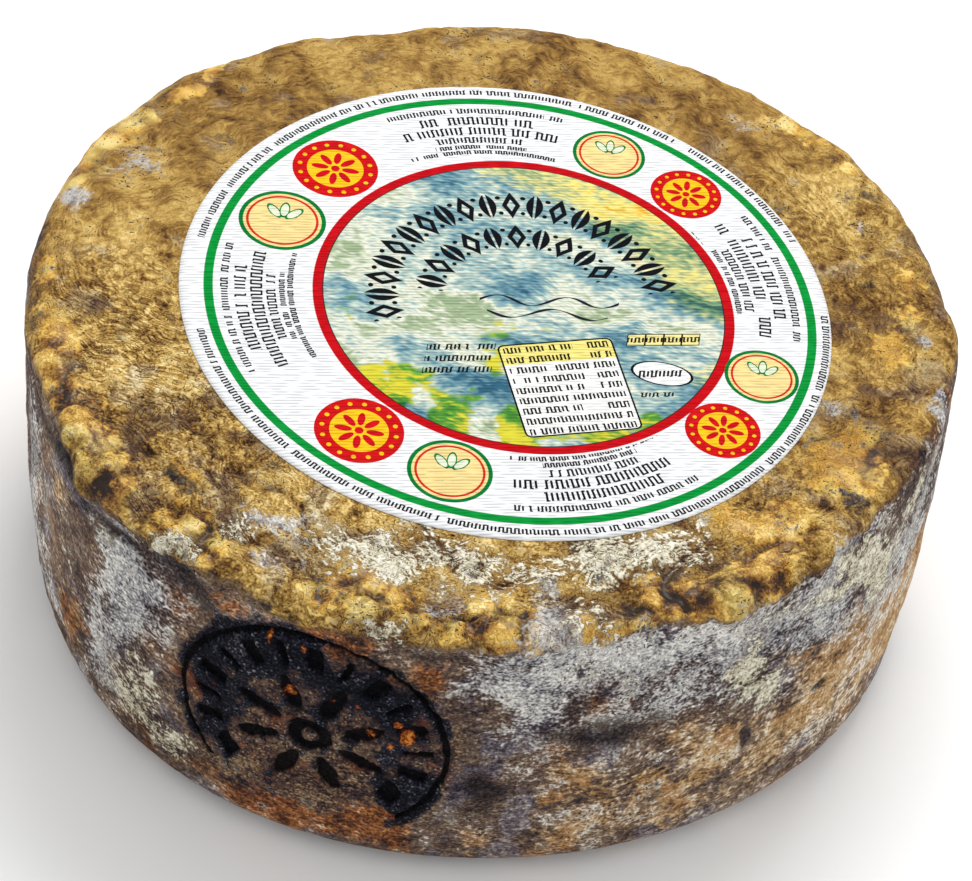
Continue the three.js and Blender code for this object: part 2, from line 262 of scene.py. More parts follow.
RUST = [
    (257, 9, 12, 3, 0.9), (270, 14, 5, 6, 1.0), (255, 67, 16, 6, 1.5), (266, 62, 7, 6, 0.9),
    (219, 56, 3, 13, 0.9), (246, 12, 6, 3, 0.7), (340, 60, 14, 8, 0.4), (346, 38, 6, 10, 0.4),
    (214, 34, 4, 10, 0.5), (284, 44, 14, 3, 0.4),
]
CELLS = [
    (182, -15, 26, 13, 1.2), (160, -12, 16, 12, 1.0), (120, -14, 36, 12, 0.7), (86, -14, 30, 12, 0.5),
    (8, -14, 12, 8, 0.8), (352, -10, 9, 6, 0.5), (330, -14, 14, 8, 0.5), (205, -4, 8, 4, 0.5),
]
HATCH = [(203, -13, 18, 13, 1.0), (222, -16, 14, 9, 0.6), (36, -14, 12, 8, 0.5)]
WARP_SIZE, WARP_REACH = 9.0, 4.2
warp_round = WARP_REACH * cloud(skin, WARP_SIZE, 11, 4)
warp_along = WARP_REACH * cloud(skin, WARP_SIZE, 23, 4)


def turn_from(bearing):
    """Turn from a bearing to each point of the rind, between minus and plus half a turn."""
    return (theta - radians(bearing) + np.pi) % (2 * np.pi) - np.pi


def cover(patches, pushed=1.0):
    """How much of a growth or stain lies on each point: the sum of the patches' bell shapes. `pushed` is
    how far noise pushes their borders about, as a share of its usual reach."""
    total = np.zeros(theta.shape)
    for bearing, at, half_round, half_along, strength in patches:
        round_from = turn_from(bearing) * np.hypot(skin[..., 0], skin[..., 1])
        across = (round_from + pushed * warp_round) / half_round
        down = (along - at + pushed * warp_along) / half_along
        total += strength * np.exp(-(across**2 + down**2))
    return total


# The mark's motif: an open ring, a band of bars like a dial's, a lozenge at each end of the band, and a
# boss with eight petals in the middle. Each is a groove with soft walls.
RING_WIDTH, RING_OPEN = 1.3, (222, 312)
BAR_COUNT, BAR_SPAN, BAR_REACH, BAR_WIDTHS = 13, (-14, 194), (19.5, 25.5), (3.2, 1.6)
BOSS_REACH = (1.8, 4.6)
PETAL_COUNT, PETAL_DISTANCE, PETAL_SIZE = 8, 11.8, (5.0, 1.8)
LOZENGE_BEARINGS, LOZENGE_DISTANCE, LOZENGE_SIZE = (216, 324), 21.5, (2.8, 4.4)
GROOVE_WALL, HALO_WALL = 0.35, 3.0


def grooves(u, w, wall):
    """The mark's grooves at a place on the side, u round it and w up it: the highest of the motifs'
    insides. The ring and bars are stretches of ring, the boss a full one, petals are ellipses and
    lozenges are diamonds. The wall is how far the inside fades over each outline."""

    def inside(distance):
        return smooth(-distance, -wall, wall)

    radius, bearing = np.hypot(u, w), np.degrees(np.arctan2(w, u)) % 360
    open_part = (bearing > RING_OPEN[0]) & (bearing < RING_OPEN[1])
    ring = inside(np.abs(radius - MARK_RADIUS + RING_WIDTH / 2) - RING_WIDTH / 2) * ~open_part
    pitch = (BAR_SPAN[1] - BAR_SPAN[0]) / (BAR_COUNT - 1)
    turn = (bearing - BAR_SPAN[0] + pitch / 2) % 360
    index, rest = np.floor(turn / pitch), turn % pitch - pitch / 2
    half = np.where(index % 2 == 0, *BAR_WIDTHS) / 2
    band = np.abs(radius - sum(BAR_REACH) / 2) - (BAR_REACH[1] - BAR_REACH[0]) / 2
    bars = inside(np.maximum(band, np.abs(np.radians(rest) * radius) - half)) * (index < BAR_COUNT)
    boss = inside(np.abs(radius - sum(BOSS_REACH) / 2) - (BOSS_REACH[1] - BOSS_REACH[0]) / 2)
    from_petal = np.radians(bearing % (360 / PETAL_COUNT) - 180 / PETAL_COUNT)
    long, short = radius * np.cos(from_petal) - PETAL_DISTANCE, radius * np.sin(from_petal)
    petals = inside((np.hypot(long / PETAL_SIZE[0], short / PETAL_SIZE[1]) - 1) * PETAL_SIZE[1])
    motifs = [ring, bars, boss, petals]
    for place in np.radians(LOZENGE_BEARINGS):
        across = np.abs(u - LOZENGE_DISTANCE * np.cos(place)) / LOZENGE_SIZE[0]
        up = np.abs(w - LOZENGE_DISTANCE * np.sin(place)) / LOZENGE_SIZE[1]
        motifs.append(inside((across + up - 1) * LOZENGE_SIZE[0]))
    return np.max(motifs, axis=0)


mark_u = turn_from(MARK_BEARING) * FACE_RADIUS
mark_w = skin[..., 2] - MARK_HEIGHT
on_side_only = smooth(along, 4, 10)
RAGGED = 0.4
ragged_u, ragged_w = (
    mark + RAGGED * cloud(skin, 2.5, seed, 3) for mark, seed in ((mark_u, 5), (mark_w, 6))
)
groove = grooves(ragged_u, ragged_w, GROOVE_WALL) * on_side_only
halo = grooves(ragged_u, ragged_w, HALO_WALL) * on_side_only
from_mark = np.hypot(mark_u, mark_w)


def towards(bearing, low, high):
    """1 where the wheel faces a bearing, 0 where it faces away: the cosine of the turn from it, eased."""
    return smooth(np.cos(theta - radians(bearing)), low, high)


# What the material reads from the mesh's points. The crust of the top ends along a wavy line some way
# down the side, less far on the right.
FRONT, RIGHT, FAR = 270, 20, 90
CRUST_END, CRUST_WAVE, CRUST_NICKS, RIGHT_RISE = 7, 2.5, 1.0, 2.0
front = towards(FRONT, 0.2, 0.7)
crust_edge = CRUST_END + CRUST_WAVE * cloud(skin, 14, 31, 2) + CRUST_NICKS * cloud(skin, 3, 32, 2)
crust_edge = crust_edge - RIGHT_RISE * towards(RIGHT, 0.3, 1)
tones = {
    "crust": smooth(crust_edge - along, -1.0, 1.0),
    "grey": cover(GREY),
    "cream": cover(CREAM),
    "amber": cover(AMBER),
    "dark": cover(DARK, 0.6),
    "ochre": cover(OCHRE),
    "rust": cover(RUST),
    "cells": cover(CELLS),
    "hatch": cover(HATCH),
}
# Behind, where the photograph doesn't reach, the side goes on with the same growths in patches of the
# same size.
unseen = towards(FAR, -0.15, 0.15) * smooth(along, 6, 12)
tones["grey"] += unseen * smooth(cloud(skin, 34, 41, 4) + 0.012 * (34 - along), -0.05, 0.8)
tones["ochre"] += unseen * 1.1 * smooth(cloud(skin, 36, 42, 4) + 0.012 * (along - 28), -0.4, 0.5)
tones["cream"] += unseen * 0.8 * smooth(cloud(skin, 16, 43, 3), 0.45, 0.8)

# The burn: black round the bars and petals, thinning towards the bottom, with glowing brown spots where
# it is thin.
CHAR = [
    (256, 19, 18, 7, 1.3), (245, 30, 6, 14, 0.9), (268, 26, 8, 10, 1.1), (256, 33, 9, 5, 0.5),
    (244, 42, 4, 10, 1.0), (268, 54, 6, 12, 1.0), (252, 56, 4, 8, 0.3),
]
GLOW = [
    (254.2, 29, 1.5, 1.6, 1.1), (259, 28, 1.0, 1.0, 0.8), (262.3, 26.5, 0.8, 1.0, 0.8),
    (267.2, 29.5, 1.2, 1.4, 1.1), (268.5, 34, 2.1, 2.3, 1.1), (266.3, 37, 1.3, 1.3, 0.9),
    (263.5, 35, 1.6, 1.6, 0.7), (251, 15.5, 0.9, 1.8, 0.9), (255.5, 15.3, 0.7, 1.9, 0.8),
    (262, 42, 1.7, 1.2, 0.6), (252, 40, 1.6, 1.2, 0.6), (267, 60, 1.0, 1.2, 0.9),
]
round_mark = smooth(MARK_RADIUS + 2.5 - from_mark, -2, 2)
tones["char"] = (cover(CHAR) + 0.55 * halo) * (0.2 + 0.8 * round_mark) - 0.22 * (1 - round_mark)
tones["glow"] = cover(GLOW, 0.2)
tones["groove"] = groove
tones["burn"] = smooth(MARK_RADIUS + 2 - from_mark, -5, 5) * on_side_only
# Lighter patches, and darker ones where the strength is below 0: partly the rind's own tone, partly
# painted light and shade, lighter over the left of the top, darker over its right, and lighter low on the
# side near the foot.
PALE = [
    (182, -14, 30, 14, 1.5), (120, -12, 40, 12, 0.5), (28, -10, 40, 14, 0.35), (319, -10, 20, 10, 0.6),
    (224, -14, 14, 12, -0.3), (8, -12, 18, 12, -0.2), (343, -9, 20, 14, -0.95), (260, -6, 30, 6, -0.3),
    (40, -4, 20, 6, 0.3), (212, 40, 16, 30, 1.3), (324, 58, 44, 22, 1.2), (346, 40, 20, 30, 0.6),
    (304, 13, 42, 7, 1.2), (230, 30, 8, 16, 0.5), (286, 70, 30, 8, 0.6),
]
tones["pale"] = cover(PALE)

# A place for patterns that run round the wheel, such as wrinkles and streaks: bearing wrapped round a
# cylinder, and distance along the profile. Over the left of the top it is sheared, as the wrinkles lie
# slantwise there.
SLANT_BEARING, SLANT_SPREAD, SLANT_SHEAR, LIE_WANDER = radians(203), radians(30), 115.0, 1.5
slant_turn = theta - SLANT_BEARING
shear = SLANT_SHEAR * slant_turn * np.exp(-((slant_turn / SLANT_SPREAD) ** 2)) * smooth(-along, -4, 2)
lie = np.stack([FACE_RADIUS * np.cos(theta), FACE_RADIUS * np.sin(theta), along + shear], -1)
lie = lie + LIE_WANDER * cloud(skin, 11, 71, 2)[..., None] * (0, 0, 1)


def cobbles(places, size, seed):
    """Cobbled noise: points scattered one to a cell of `size`, and for each place its distance from the
    nearest point in cells, and that point's own random value."""
    at = places / size
    cell = np.floor(at).astype(np.int64)
    nearest, value = np.full(at.shape[:-1], 9.0), np.zeros(at.shape[:-1])
    for offset in np.ndindex(3, 3, 3):
        corner = cell + np.array(offset) - 1
        jitter = np.stack([hash_noise(corner, seed + axis) for axis in range(3)], -1)
        away = np.sqrt(((corner + 0.5 + 0.45 * jitter - at) ** 2).sum(-1))
        value = np.where(away < nearest, hash_noise(corner, seed + 7), value)
        nearest = np.minimum(away, nearest)
    return nearest, value


# Folds of the crust: hills 5 to 15 mm across with sharp creases between them, in height, and painted into
# the colour as well: painted light on the hills and painted shade in the creases. They are shallower at
# the back, on the right and at the far left of the top, and on the side.
FOLD_SIZE, FOLD_BEND = 11, 5.0
back = towards(112, -0.1, 0.6)
right = towards(10, 0.5, 0.9)
far_left = towards(170, 0.6, 0.9)
shallow = np.max([0.45 * back, 0.4 * right, 0.5 * far_left, 0.5 * smooth(along, 6, 14)], axis=0)
bend = np.stack([cloud(skin, 16, seed, 2) for seed in (81, 82, 83)], -1)
bent = lie * (0.62, 0.62, 1) + FOLD_BEND * bend
folds = np.abs(cloud(bent, FOLD_SIZE, 84, 4))
tones["fold"] = (smooth(folds, 0.0, 0.55) - 0.5 + 0.35 * cloud(skin, 9, 85, 2)) * (1 - shallow)
tones["crease"] = smooth(folds, 0.13, 0.0) * (1 - shallow)
DRIFT = 1.3
tones["blotch"] = DRIFT * cloud(skin, 5, 91, 3)
tones["hue"] = DRIFT * cloud(skin, 7, 92, 3) - 0.6 * shallow
tones["stain"] = DRIFT * cloud(skin, 7.5, 94, 3) - 0.4 * shallow
tones["pale"] += 0.8 * cloud(skin, 24, 95, 2) * (1 - smooth(along, 4, 10))
tones["beaded"] = 0.3 + 0.7 * smooth(cloud(skin, 9, 93, 2), -0.2, 0.5)

# Relief over the smooth wheel: the lumps, then the folds, knobs and chunks of the crust by noise, its lip
# over the front of the side, and the mark's grooves. It fades out under the label and on the flat
# underside.
label_gap = np.hypot(*(skin[..., :2] - LABEL_OFFSET).transpose(2, 0, 1)) - LABEL_RADIUS - SEAT_MARGIN
seat_fade = np.where(skin[..., 2] > SIDE_TOP, smooth(label_gap, 0, SEAT_FADE), 1)
foot_fade = smooth(skin[..., 2], 0, FOOT_ROUND)
mark_calm = 0.3 + 0.7 * smooth(from_mark, 0.8 * MARK_RADIUS, 1.3 * MARK_RADIUS)
KNOB_SIZES, KNOB_HEIGHTS, CHUNK_SIZE, CHUNK_HEIGHT = (6, 2.2), (0.36, 0.16), 5.5, 0.9
FOLD_HEIGHT, CREASE_DEPTH, LIP_OUT, LIP_IN, HOLLOW_DEPTH, WELT_HEIGHT = 0.42, 0.4, 0.9, 0.5, 0.6, 0.5
knobs = KNOB_HEIGHTS[0] * cloud(skin, KNOB_SIZES[0], 51, 2)
knobs = knobs + KNOB_HEIGHTS[1] * cloud(skin, KNOB_SIZES[1], 52, 2)
on_rim = smooth(along, -12, -2) * smooth(-along, -10, -4)
knob_from, knob_value = cobbles(skin + 1.2 * cloud(skin, 4, 55, 2)[..., None], CHUNK_SIZE, 56)
flat_knob = np.minimum(1.0 - 2.2 * knob_from**2, 0.62) + 0.3 * knob_value
chunks = on_rim * front * (0.5 + 0.5 * smooth(tones["amber"], 0.2, 0.7)) * flat_knob
# Dark lines in the gaps between the rim's chunks join the creases: painted shade.
tones["crease"] = np.maximum(tones["crease"], 0.9 * smooth(knob_from, 0.5, 0.72) * on_rim * front)
lip_line = smooth(crust_edge - along, -0.8, 0.8)
lip = front * (LIP_OUT * lip_line * smooth(along, -3, 3) - LIP_IN * (1 - lip_line) * smooth(along, 12, 4))
LEFT_LIP, LEFT_LIP_SPREAD = 217, 16
left_lip = np.exp(-(((np.degrees(theta) - LEFT_LIP) / LEFT_LIP_SPREAD) ** 2))
lip = lip * (1 + 0.3 * left_lip)
lip = lip - HOLLOW_DEPTH * smooth(tones["dark"], 0.3, 0.9) * smooth(along, -20, -16)
fold_depth = 0.5 + 0.5 * smooth(crust_edge - along, -1, 1)
folded = (FOLD_HEIGHT * tones["fold"] - CREASE_DEPTH * tones["crease"]) * fold_depth * (0.4 + 0.6 * front)
# Painted light and shade of the rim's knobs: lighter on their tops, darker towards their edges.
tones["lump"] = on_rim * (0.9 - 2.2 * knob_from**2 + 0.35 * knob_value)
tones["fine"] = 1 - np.maximum(0.74 * back, 0.42 * right)
# A dark line along the crust's lower edge on the front: partly a brown line of the rind, partly painted
# shade under the crust's lip.
tones["border"] = np.exp(-(((along - crust_edge) / 0.9) ** 2)) * towards(FRONT, -0.3, 0.3)
relief = (lumps + folded + knobs * (0.6 + 0.4 * on_rim) + CHUNK_HEIGHT * chunks + lip) * mark_calm
welt = WELT_HEIGHT * halo * (1 - groove) * smooth(from_mark, MARK_RADIUS, MARK_RADIUS - 4)
relief = relief * seat_fade * foot_fade - (MARK_DEPTH * groove - welt) * smooth(from_mark, 40, 32)
skin = skin + outward * relief[..., None]
skin[..., 2] = np.maximum(skin[..., 2], 0)


def closed_skin(name, rows, top, bottom):
    """Mesh of a grid of points whose columns go all the way round: four-sided cells between the rows, and
    a fan of triangles to a middle point at each end."""
    count, across = rows.shape[:2]
    points = np.concatenate([rows.reshape(-1, 3), [top, bottom]])
    here = np.arange(count * across).reshape(count, across)
    after = np.roll(here, -1, axis=1)
    cells = np.stack([here[:-1], here[1:], after[1:], after[:-1]], -1).reshape(-1, 4)
    start = np.stack([np.full(across, len(points) - 2), here[0], after[0]], -1)
    end = np.stack([np.full(across, len(points) - 1), after[-1], here[-1]], -1)
    mesh = bpy.data.meshes.new(name)
    mesh.from_pydata((points * MM).tolist(), [], cells.tolist() + start.tolist() + end.tolist())
    mesh.polygons.foreach_set("use_smooth", np.ones(len(mesh.polygons), bool))
    mesh.update()
    piece = bpy.data.objects.new(name, mesh)
    bpy.context.scene.collection.objects.link(piece)
    return piece


def paint_on(piece, name, values, kind="FLOAT", part="value"):
    """Keeps a number or a direction for each point of the mesh under a name that its material reads."""
    layer = piece.data.attributes.new(name, kind, "POINT")
    layer.data.foreach_set(part, values.astype(np.float32).ravel())


under_middle = np.array((*FOOT_SHIFT, 0.0))
under = [under_middle + (skin[-1] - under_middle) * share for share in UNDER_ROWS]
rows = np.concatenate([skin, under])
rows[..., :2] += wheel_axis
wheel = closed_skin(
    "cheese_rind", rows, (*(LABEL_OFFSET + wheel_axis), HEIGHT), (*(under_middle[:2] + wheel_axis), 0.0)
)
for name, values in tones.items():
    last = [values[-1]] * len(UNDER_ROWS)
    ends = [values[0].mean(), values[-1].mean()]
    paint_on(wheel, name, np.concatenate([values.ravel(), np.ravel(last), ends]))
lie_rows = np.concatenate([lie, *[lie[-1:]] * len(UNDER_ROWS)]).reshape(-1, 3)
lie_rows = np.concatenate([lie_rows, lie_rows[:1], lie_rows[-1:]])
paint_on(wheel, "lie", lie_rows, "FLOAT_VECTOR", "vector")
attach(wheel, "root")
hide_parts("cheese_wheel")


# The rind's finish: dull, mottled crust, ochre on top and brown, purple and grey down the side, with fine
# grain.
class Field:
    """A number or colour that varies over a surface: one output of a shader node. Arithmetic adds Math
    nodes."""

    def __init__(self, socket):
        self.socket = socket

    def __add__(self, other):
        return calc("ADD", self, other)

    def __sub__(self, other):
        return calc("SUBTRACT", self, other)

    def __rsub__(self, other):
        return calc("SUBTRACT", other, self)

    def __mul__(self, other):
        return calc("MULTIPLY", self, other)

    def __truediv__(self, other):
        return calc("DIVIDE", self, other)

    def __abs__(self):
        return calc("ABSOLUTE", self)

    def __lt__(self, other):
        return calc("LESS_THAN", self, other)

    def __gt__(self, other):
        return calc("GREATER_THAN", self, other)

    __radd__, __rmul__ = __add__, __mul__


def feed(node, name, value):
    """Sets an input of a node: linked to a field, or held at a number or colour."""
    if isinstance(value, Field):
        node.id_data.links.new(value.socket, node.inputs[name])
    else:
        node.inputs[name].default_value = value


def add_node(tree, kind, inputs=(), **settings):
    """A new node with its settings, and with its inputs fed from a dict."""
    node = tree.nodes.new(kind)
    for name, value in settings.items():
        setattr(node, name, value)
    for name, value in dict(inputs).items():
        feed(node, name, value)
    return node


def tree_of(*values):
    """The node tree of the first field among some values."""
    return next(value for value in values if isinstance(value, Field)).socket.id_data


def made(kind, inputs, output=0, **settings):
    """One output of a new node, which stands in the tree of the first field among its inputs."""
    inputs = dict(inputs)
    return Field(add_node(tree_of(*inputs.values()), kind, inputs, **settings).outputs[output])


def calc(operation, *values):
    """A Math node on fields and numbers."""
    return made("ShaderNodeMath", enumerate(values), operation=operation)


def rise(value, low, high):
    """0 below low, 1 above high, S-shaped between. With high under low it falls."""
    inputs = {"Value": value, "From Min": min(low, high), "From Max": max(low, high)}
    inputs |= {"To Min": float(low > high), "To Max": float(low < high)}
    return made("ShaderNodeMapRange", inputs, interpolation_type="SMOOTHSTEP")


def noise(place, size, detail, rough=0.5):
    """Noise whose blotches are about `size` millimetres across, spread evenly round 0 and mostly within
    1."""
    inputs = {"Vector": place, "Scale": 1 / size, "Detail": detail, "Roughness": rough}
    return (made("ShaderNodeTexNoise", inputs) - 0.5) * 4.0


def vectors(operation, *values):
    """A Vector Math node on places."""
    return made("ShaderNodeVectorMath", enumerate(values), operation=operation)


def shade(red, green, blue):
    """A colour as seen on a screen, 0 to 255, made linear."""
    share = np.array((red, green, blue)) / 255
    return (*np.where(share > 0.04045, ((share + 0.055) / 1.055) ** 2.4, share / 12.92), 1.0)


def ramp(value, stops):
    """Colours along a field: pairs of a value and a colour."""
    node = add_node(tree_of(value), "ShaderNodeValToRGB", {"Fac": value})
    for _ in stops[2:]:
        node.color_ramp.elements.new(0.5)
    for element, (at, tint) in zip(node.color_ramp.elements, stops):
        element.position, element.color = at, shade(*tint)
    return Field(node.outputs[0])


def over(under, mask, tint, blend="MIX"):
    """A colour laid over another as far as the mask says, or blended with it in another way."""
    under, tint = (colour if isinstance(colour, Field) else shade(*colour) for colour in (under, tint))
    return made("ShaderNodeMix", {0: mask, 6: under, 7: tint}, 2, data_type="RGBA", blend_type=blend)


def laid(under, *layers):
    """A colour with others laid over it in turn: pairs of a mask and a colour."""
    for mask, tint in layers:
        under = over(under, mask, tint)
    return under


def new_material(name):
    """An empty material, its Principled shader, and the place on the object in millimetres."""
    material = bpy.data.materials.new(name)
    material.use_nodes = True
    tree = material.node_tree
    place = Field(add_node(tree, "ShaderNodeTexCoord").outputs["Object"])
    return material, tree.nodes["Principled BSDF"], vectors("MULTIPLY", place, (1 / MM,) * 3)


def tone(tree, name, output="Fac"):
    """A number or a direction kept on the mesh's points."""
    return Field(add_node(tree, "ShaderNodeAttribute", attribute_name=name).outputs[output])


def bumped(height, strength):
    """A normal bent by a height in millimetres."""
    return made("ShaderNodeBump", {"Height": height, "Distance": MM, "Strength": strength})


rind, rind_shader, place = new_material("cheese rind")
tree = rind.node_tree
(
    crust, grey, cream, amber, dark, ochre, rust, cells, hatch, char, glow, groove, burn, pale,
    fold, crease, blotch, hue, stain, beaded, lump, fine, border,
) = (tone(tree, name) for name in tones)


def mixed_place(x, y, z):
    """A place from three numbers."""
    return made("ShaderNodeCombineXYZ", enumerate((x, y, z)))


lie = tone(tree, "lie", "Vector")
grain = noise(place, 0.55, 0.0)
speck = noise(place, 1.6, 1.0, 0.65)
streak = noise(vectors("MULTIPLY", lie, (0.45, 0.45, 1.0)), 1.0, 1.0, 0.7)
powder = noise(vectors("MULTIPLY", lie, (0.8, 0.8, 1.0)), 0.55, 0.0)
swirled = vectors("ADD", lie, mixed_place(0.0, 0.0, 2.2 * blotch))
strand = noise(vectors("MULTIPLY", swirled, (0.3, 0.3, 1.0)), 0.7, 0.0)
wrinkle_and_shade = rise(abs(speck), 0.16, 0.0)
furrow = rise(abs(streak), 0.16, 0.0)

# Beads: knobs of the crust, painted into the colour only: lighter in their middles and darker in the
# lines between them, as painted light and shade. Where it is celled the knobs are flat blisters, lighter,
# with painted shade in the gaps between them, and some of them have a dark rim of painted shade.
BEAD_SIZE = 2.9
nudged = vectors("ADD", place, mixed_place(0.4 * speck, 0.4 * blotch, 0.0))
beads = add_node(
    tree, "ShaderNodeTexVoronoi", {"Vector": nudged, "Scale": 1 / BEAD_SIZE, "Randomness": 0.9}
).outputs
bead_from = Field(beads["Distance"])
bead_hue = made("ShaderNodeSeparateColor", {0: Field(beads["Color"])})
celled = rise(cells + 0.2 * blotch, 0.2, 0.7)
bead_shading = (rise(bead_from, 0.85, 0.1) - 0.5) * beaded * (1.0 - celled)
blister_shading = (rise(bead_from, 0.66, 0.36) - 0.7) * celled

# Crust of the top: ochre to golden, purple-brown stains that gather in the hollows of the folds, partly
# painted shade there, with fine wrinkles and freckles. Its tone follows its relief: lighter on the fine
# bumps and on the hills of the folds, darker in the wrinkles and creases, as painted light and shade. It
# is darker at the back and on the right, where `fine` is low. Its hue wanders towards a greyer brown.
even = 0.14 * grain + 0.17 * speck - 0.2 * wrinkle_and_shade * beaded + 0.18 * bead_shading + 0.24 * blister_shading
even = even + 0.1 * (bead_hue - 0.5)
top_tone = 0.36 + even * fine + 0.2 * fine + 0.1 * blotch + 0.1 * pale
top_tone = top_tone + 0.14 * strand * (0.5 + 0.5 * fine) + 0.17 * fold - 0.18 * crease
top_tone = top_tone + hatch * (0.12 * strand - 0.26 * rise(abs(strand), 0.14, 0.0) + 0.04)
top_tint = ramp(top_tone, [
    (0.0, (36, 22, 14)), (0.2, (92, 62, 30)), (0.4, (144, 109, 54)), (0.58, (184, 150, 82)),
    (0.78, (220, 188, 116)), (1.0, (250, 228, 170)),
])
drab = ramp(top_tone, [
    (0.0, (34, 26, 28)), (0.2, (86, 66, 54)), (0.4, (128, 105, 78)), (0.58, (166, 146, 110)),
    (0.78, (204, 186, 148)), (1.0, (238, 228, 198)),
])
rim_shade = rise(abs(bead_from - 0.5), 0.08, 0.03) * celled * (bead_hue > 0.6)
top_tint = laid(
    top_tint,
    (rise(hue + 0.3 * speck - 0.4 * pale, 0.1, 0.9) * 0.7, drab),
    (rim_shade * (0.8 * fine), (84, 58, 32)),
    (rise(stain + 0.4 * speck - 0.4 * pale - 0.4 * fold, 0.4, 1.1) * 0.65, (84, 60, 48)),
    (wrinkle_and_shade * rise(stain + 0.3 * hue, 0.1, 0.6) * (0.6 * fine), (44, 36, 32)),
)
# The golden crust on the rim: lighter on its knobs' tops and darker in the creases and wrinkles between
# them, painted light and shade, and olive in places.
gold_tone = 0.47 + (0.1 * grain + 0.14 * speck + 0.1 * bead_shading) * fine + 0.1 * blotch
gold_tone = gold_tone + 0.3 * lump + 0.12 * fold - 0.12 * rise(pale, 0.0, -1.0)
gold = ramp(gold_tone - 0.28 * crease - 0.1 * wrinkle_and_shade, [
    (0.05, (42, 26, 16)), (0.25, (114, 74, 32)), (0.45, (176, 130, 54)), (0.66, (222, 180, 88)),
    (0.95, (252, 228, 154)),
])
olive = ramp(gold_tone - 0.28 * crease, [
    (0.05, (40, 28, 18)), (0.25, (98, 76, 36)), (0.45, (158, 134, 66)), (0.66, (196, 176, 100)),
    (0.95, (240, 226, 164)),
])
gold = over(gold, rise(hue + 0.3 * blotch, 0.0, 0.6) * 0.6, olive)
top_tint = over(top_tint, rise(amber + 0.2 * speck + 0.2 * blotch + 0.2 * fold, 0.3, 0.6), gold)
# The dark line along the crust's lower edge on the front: partly a brown line, partly painted shade under
# the lip.
top_tint = over(top_tint, rise(border + 0.3 * speck + 0.2 * blotch, 0.3, 0.8) * 0.65, (62, 42, 36))

# The side: dark purple-brown, orange-ochre lower down, rusty in places. One tone, streaked level, gives
# all of them their lights and darks, with painted light on the folds and painted shade in the creases and
# wrinkles.
side_tone = 0.52 + 0.17 * streak + 0.12 * speck + 0.12 * powder + 0.16 * blotch + 0.12 * fold
side_tone = side_tone - 0.1 * crease + 0.07 * grain - 0.12 * furrow - 0.1 * wrinkle_and_shade + 0.14 * pale
side_tint = ramp(side_tone, [
    (0.0, (16, 13, 20)), (0.22, (52, 42, 44)), (0.45, (94, 76, 66)), (0.68, (140, 118, 98)),
    (1.0, (206, 192, 170)),
])
ochre_tint = ramp(side_tone, [
    (0.0, (42, 32, 28)), (0.22, (106, 80, 52)), (0.45, (160, 122, 78)), (0.68, (200, 168, 122)),
    (1.0, (236, 220, 190)),
])
dusk = ramp(side_tone, [
    (0.0, (12, 12, 22)), (0.25, (52, 48, 62)), (0.5, (104, 99, 110)), (0.75, (158, 152, 154)),
])
rust_tint = ramp(side_tone, [
    (0.05, (30, 18, 20)), (0.33, (96, 56, 34)), (0.55, (158, 96, 50)), (0.9, (216, 158, 98)),
])
russet = ramp(side_tone, [
    (0.05, (34, 20, 18)), (0.33, (100, 62, 36)), (0.6, (158, 106, 62)), (0.95, (214, 168, 116)),
])
side_tint = laid(
    side_tint,
    (rise(stain + 0.3 * speck + 0.2 * streak, 0.0, 0.7) * 0.7, dusk),
    (rise(ochre + 0.35 * hue + 0.25 * streak + 0.22 * speck, 0.2, 0.75), ochre_tint),
    (rise(rust + 0.2 * speck + 0.2 * streak, 0.3, 0.85) * 0.9, rust_tint),
    (rise(hue - 0.5 * stain + 0.25 * speck + 0.2 * streak, 0.35, 0.9) * 0.5, russet),
)
tint = over(side_tint, crust, top_tint)
skin_tone = side_tone + crust * (top_tone - side_tone)

# Growths: grey mould, cream felt and flakes, and dark stains. They keep the lights and darks of what they
# lie on, its painted light and shade included.
grey_tint = ramp(skin_tone + 0.1 * powder + 0.04, [
    (0.0, (34, 32, 42)), (0.22, (84, 82, 92)), (0.45, (142, 140, 143)), (0.66, (190, 188, 184)),
    (1.0, (240, 238, 230)),
])
broken = 0.2 * powder + 0.24 * speck + 0.26 * streak + 0.34 * blotch
felt_tint = ramp(skin_tone + 0.16 * strand - 0.2 * wrinkle_and_shade + 0.08 * powder + 0.06, [
    (0.05, (62, 52, 48)), (0.25, (128, 116, 98)), (0.48, (184, 175, 148)), (0.7, (216, 210, 186)),
    (1.0, (242, 238, 222)),
])
felt = (0.1 + 0.2 * crust) * strand + 0.28 * speck + 0.3 * blotch + 0.24 * grain + 0.2 * streak
felt = cream + felt * (0.5 + 0.5 * rise(cream, 0.0, 0.3))
dark_tint = ramp(skin_tone, [(0.1, (8, 7, 11)), (0.5, (36, 30, 33)), (1.0, (78, 66, 62))])
tint = laid(
    tint,
    (rise(grey + broken * (1.0 - 0.3 * crust) - 0.2 * crust, 0.25, 0.85) * 0.95, grey_tint),
    (rise(felt, 0.22, 0.44) * 0.5, (80, 66, 60)),
    (rise(felt, 0.38, 0.86) * 0.94, felt_tint),
    (rise(dark + 0.25 * speck + 0.25 * blotch + 0.2 * streak, 0.3, 0.9) * 0.98, dark_tint),
    (rise(grain - 0.7 * speck + 0.4 * blotch - 0.4 * fold, 1.1, 1.4) * 0.85, (34, 26, 26)),
)

